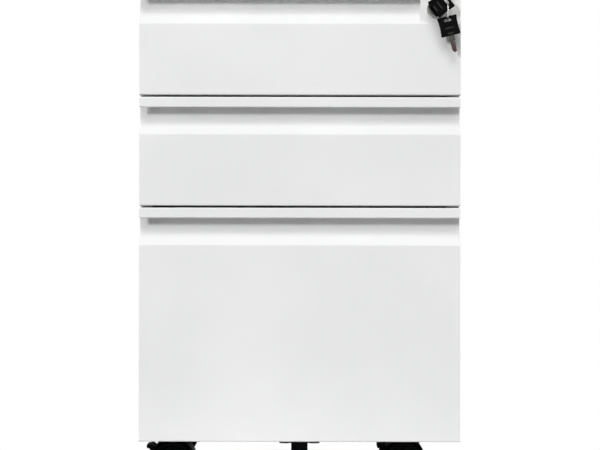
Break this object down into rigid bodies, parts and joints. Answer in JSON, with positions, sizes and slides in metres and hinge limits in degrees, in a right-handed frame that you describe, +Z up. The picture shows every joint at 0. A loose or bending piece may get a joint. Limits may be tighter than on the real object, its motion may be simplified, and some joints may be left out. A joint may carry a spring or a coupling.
{
  "type": "mobile filing cabinet",
  "caption": "White sheet-steel mobile pedestal with box drawers over a hanging-file drawer, full-width pull channels, a folding-key lock, braked casters and an anti-tip wheel.",
  "frame": {"origin": "on the floor under the centre of the overall box, keys included", "axes": "+Z up, the drawer fronts face -Y, +X to the right of someone facing the fronts"},
  "size_m": [0.39, 0.4736, 0.63],
  "materials": {
    "white_paint": "satin powder coat",
    "white_plastic": "satin",
    "zinc_steel": "zinc plated",
    "chrome": "polished nickel",
    "key_metal": "brushed nickel",
    "key_plastic": "satin",
    "black_plastic": "satin",
    "black_nylon": "satin",
    "rubber": "matte"
  },
  "bodies": {
    "carcass": {"left_side_panel": "white_paint", "right_side_panel": "white_paint", "back_panel": "white_paint", "back_screws": "zinc_steel", "top_panel": "white_paint", "base_pan": "white_paint", "front_top_rail": "white_paint", "slide_uprights": "white_paint", "drawer_bumpers": "rubber", "top_slide_outers": "zinc_steel", "middle_slide_outers": "zinc_steel", "file_slide_outers": "zinc_steel", "lock_bar_guides": "zinc_steel", "caster_plates": "zinc_steel", "caster_screws": "zinc_steel"},
    "top_drawer": {"top_front": "white_paint", "top_tray": "white_paint", "top_slide_inners": "zinc_steel", "lock_housing": "white_plastic", "lock_barrel": "chrome"},
    "middle_drawer": {"middle_front": "white_paint", "middle_tray": "white_paint", "middle_slide_inners": "zinc_steel"},
    "file_drawer": {"file_front": "white_paint", "file_tray": "white_paint", "file_slide_inners": "zinc_steel", "hanging_rails": "zinc_steel", "antitip_bracket": "black_plastic", "antitip_bolts": "zinc_steel", "antitip_axle": "zinc_steel"},
    "top_slide": {"top_slide_middles": "zinc_steel"},
    "middle_slide": {"middle_slide_middles": "zinc_steel"},
    "file_slide": {"file_slide_middles": "zinc_steel"},
    "antitip_roller": {"antitip_wheel": "black_nylon"},
    "lock_core": {"lock_plug": "chrome", "lock_crank": "zinc_steel"},
    "lock_bar": {"lock_bar": "zinc_steel"},
    "key": {"key_blade": "key_metal"},
    "key_bow": {"key_head": "key_plastic"},
    "ring": {"key_ring": "chrome"},
    "spare_key": {"spare_key_blade": "key_metal", "spare_key_head": "key_plastic"},
    "front_left_caster": {"front_left_caster_hood": "black_plastic", "front_left_caster_axle": "zinc_steel"},
    "front_left_wheels": {"front_left_caster_wheels": "black_nylon"},
    "front_right_caster": {"front_right_caster_hood": "black_plastic", "front_right_caster_axle": "zinc_steel"},
    "front_right_wheels": {"front_right_caster_wheels": "black_nylon"},
    "rear_left_caster": {"rear_left_caster_hood": "black_plastic", "rear_left_caster_axle": "zinc_steel"},
    "rear_left_wheels": {"rear_left_caster_wheels": "black_nylon"},
    "rear_right_caster": {"rear_right_caster_hood": "black_plastic", "rear_right_caster_axle": "zinc_steel"},
    "rear_right_wheels": {"rear_right_caster_wheels": "black_nylon"},
    "front_left_brake": {"front_left_brake_pedal": "black_plastic"},
    "front_right_brake": {"front_right_brake_pedal": "black_plastic"}
  },
  "joints": [
    {"name": "top_drawer_slide", "type": "slide", "parent": "carcass", "child": "top_drawer", "axis": [0, -1, 0], "range_m": [0, 0.38]},
    {"name": "top_slide_middle", "type": "slide", "parent": "carcass", "child": "top_slide", "axis": [0, -1, 0], "range_m": [0, 0.19]},
    {"name": "middle_drawer_slide", "type": "slide", "parent": "carcass", "child": "middle_drawer", "axis": [0, -1, 0], "range_m": [0, 0.38]},
    {"name": "middle_slide_middle", "type": "slide", "parent": "carcass", "child": "middle_slide", "axis": [0, -1, 0], "range_m": [0, 0.19]},
    {"name": "file_drawer_slide", "type": "slide", "parent": "carcass", "child": "file_drawer", "axis": [0, -1, 0], "range_m": [0, 0.38]},
    {"name": "file_slide_middle", "type": "slide", "parent": "carcass", "child": "file_slide", "axis": [0, -1, 0], "range_m": [0, 0.19]},
    {"name": "lock_turn", "type": "hinge", "parent": "top_drawer", "child": "lock_core", "pos_m": [0.1654, -0.21365, 0.58], "axis": [0, 1, 0], "range_deg": [0, 90]},
    {"name": "lock_bar_lift", "type": "slide", "parent": "carcass", "child": "lock_bar", "axis": [0, 0, 1], "range_m": [0, 0.00989]},
    {"name": "key_pull", "type": "slide", "parent": "lock_core", "child": "key", "axis": [0, -1, 0], "range_m": [0, 0.018]},
    {"name": "key_fold", "type": "hinge", "parent": "key", "child": "key_bow", "pos_m": [0.1654, -0.22565, 0.58], "axis": [0.6157, 0, -0.788], "range_deg": [0, 25]},
    {"name": "ring_swing", "type": "hinge", "parent": "key_bow", "child": "ring", "pos_m": [0.1779, -0.22565, 0.58609], "axis": [0, 1, 0], "range_deg": [-90, 0]},
    {"name": "spare_key_swing", "type": "hinge", "parent": "ring", "child": "spare_key", "pos_m": [0.1779, -0.22565, 0.56509], "axis": [0, 1, 0], "range_deg": [-25, 2]},
    {"name": "front_left_swivel", "type": "hinge", "parent": "carcass", "child": "front_left_caster", "pos_m": [-0.143, -0.13815, 0.0575], "axis": [0, 0, 1], "continuous": true},
    {"name": "front_left_roll", "type": "hinge", "parent": "front_left_caster", "child": "front_left_wheels", "pos_m": [-0.157, -0.13815, 0.025], "axis": [0, 1, 0], "continuous": true},
    {"name": "front_left_brake_press", "type": "hinge", "parent": "front_left_caster", "child": "front_left_brake", "pos_m": [-0.1838, -0.13815, 0.04174], "axis": [0, -1, 0], "range_deg": [-10, 0]},
    {"name": "front_right_swivel", "type": "hinge", "parent": "carcass", "child": "front_right_caster", "pos_m": [0.143, -0.13815, 0.0575], "axis": [0, 0, 1], "continuous": true},
    {"name": "front_right_roll", "type": "hinge", "parent": "front_right_caster", "child": "front_right_wheels", "pos_m": [0.129, -0.13815, 0.025], "axis": [0, 1, 0], "continuous": true},
    {"name": "front_right_brake_press", "type": "hinge", "parent": "front_right_caster", "child": "front_right_brake", "pos_m": [0.1022, -0.13815, 0.04174], "axis": [0, -1, 0], "range_deg": [0, 10]},
    {"name": "rear_left_swivel", "type": "hinge", "parent": "carcass", "child": "rear_left_caster", "pos_m": [-0.151, 0.17285, 0.0575], "axis": [0, 0, 1], "continuous": true},
    {"name": "rear_left_roll", "type": "hinge", "parent": "rear_left_caster", "child": "rear_left_wheels", "pos_m": [-0.165, 0.17285, 0.025], "axis": [0, 1, 0], "continuous": true},
    {"name": "rear_right_swivel", "type": "hinge", "parent": "carcass", "child": "rear_right_caster", "pos_m": [0.151, 0.17285, 0.0575], "axis": [0, 0, 1], "continuous": true},
    {"name": "rear_right_roll", "type": "hinge", "parent": "rear_right_caster", "child": "rear_right_wheels", "pos_m": [0.137, 0.17285, 0.025], "axis": [0, 1, 0], "continuous": true},
    {"name": "antitip_roll", "type": "hinge", "parent": "file_drawer", "child": "antitip_roller", "pos_m": [0, -0.18915, 0.0215], "axis": [1, 0, 0], "continuous": true}
  ],
  "couplings": [
    {"joint": "top_slide_middle", "follows": "top_drawer_slide", "ratio": 0.5},
    {"joint": "middle_slide_middle", "follows": "middle_drawer_slide", "ratio": 0.5},
    {"joint": "file_slide_middle", "follows": "file_drawer_slide", "ratio": 0.5},
    {"joint": "lock_turn", "follows": "lock_bar_lift", "rad_per_m": 158.67},
    {"joint": "ring_swing", "follows": "lock_bar_lift", "rad_per_m": -158.67}
  ]
}
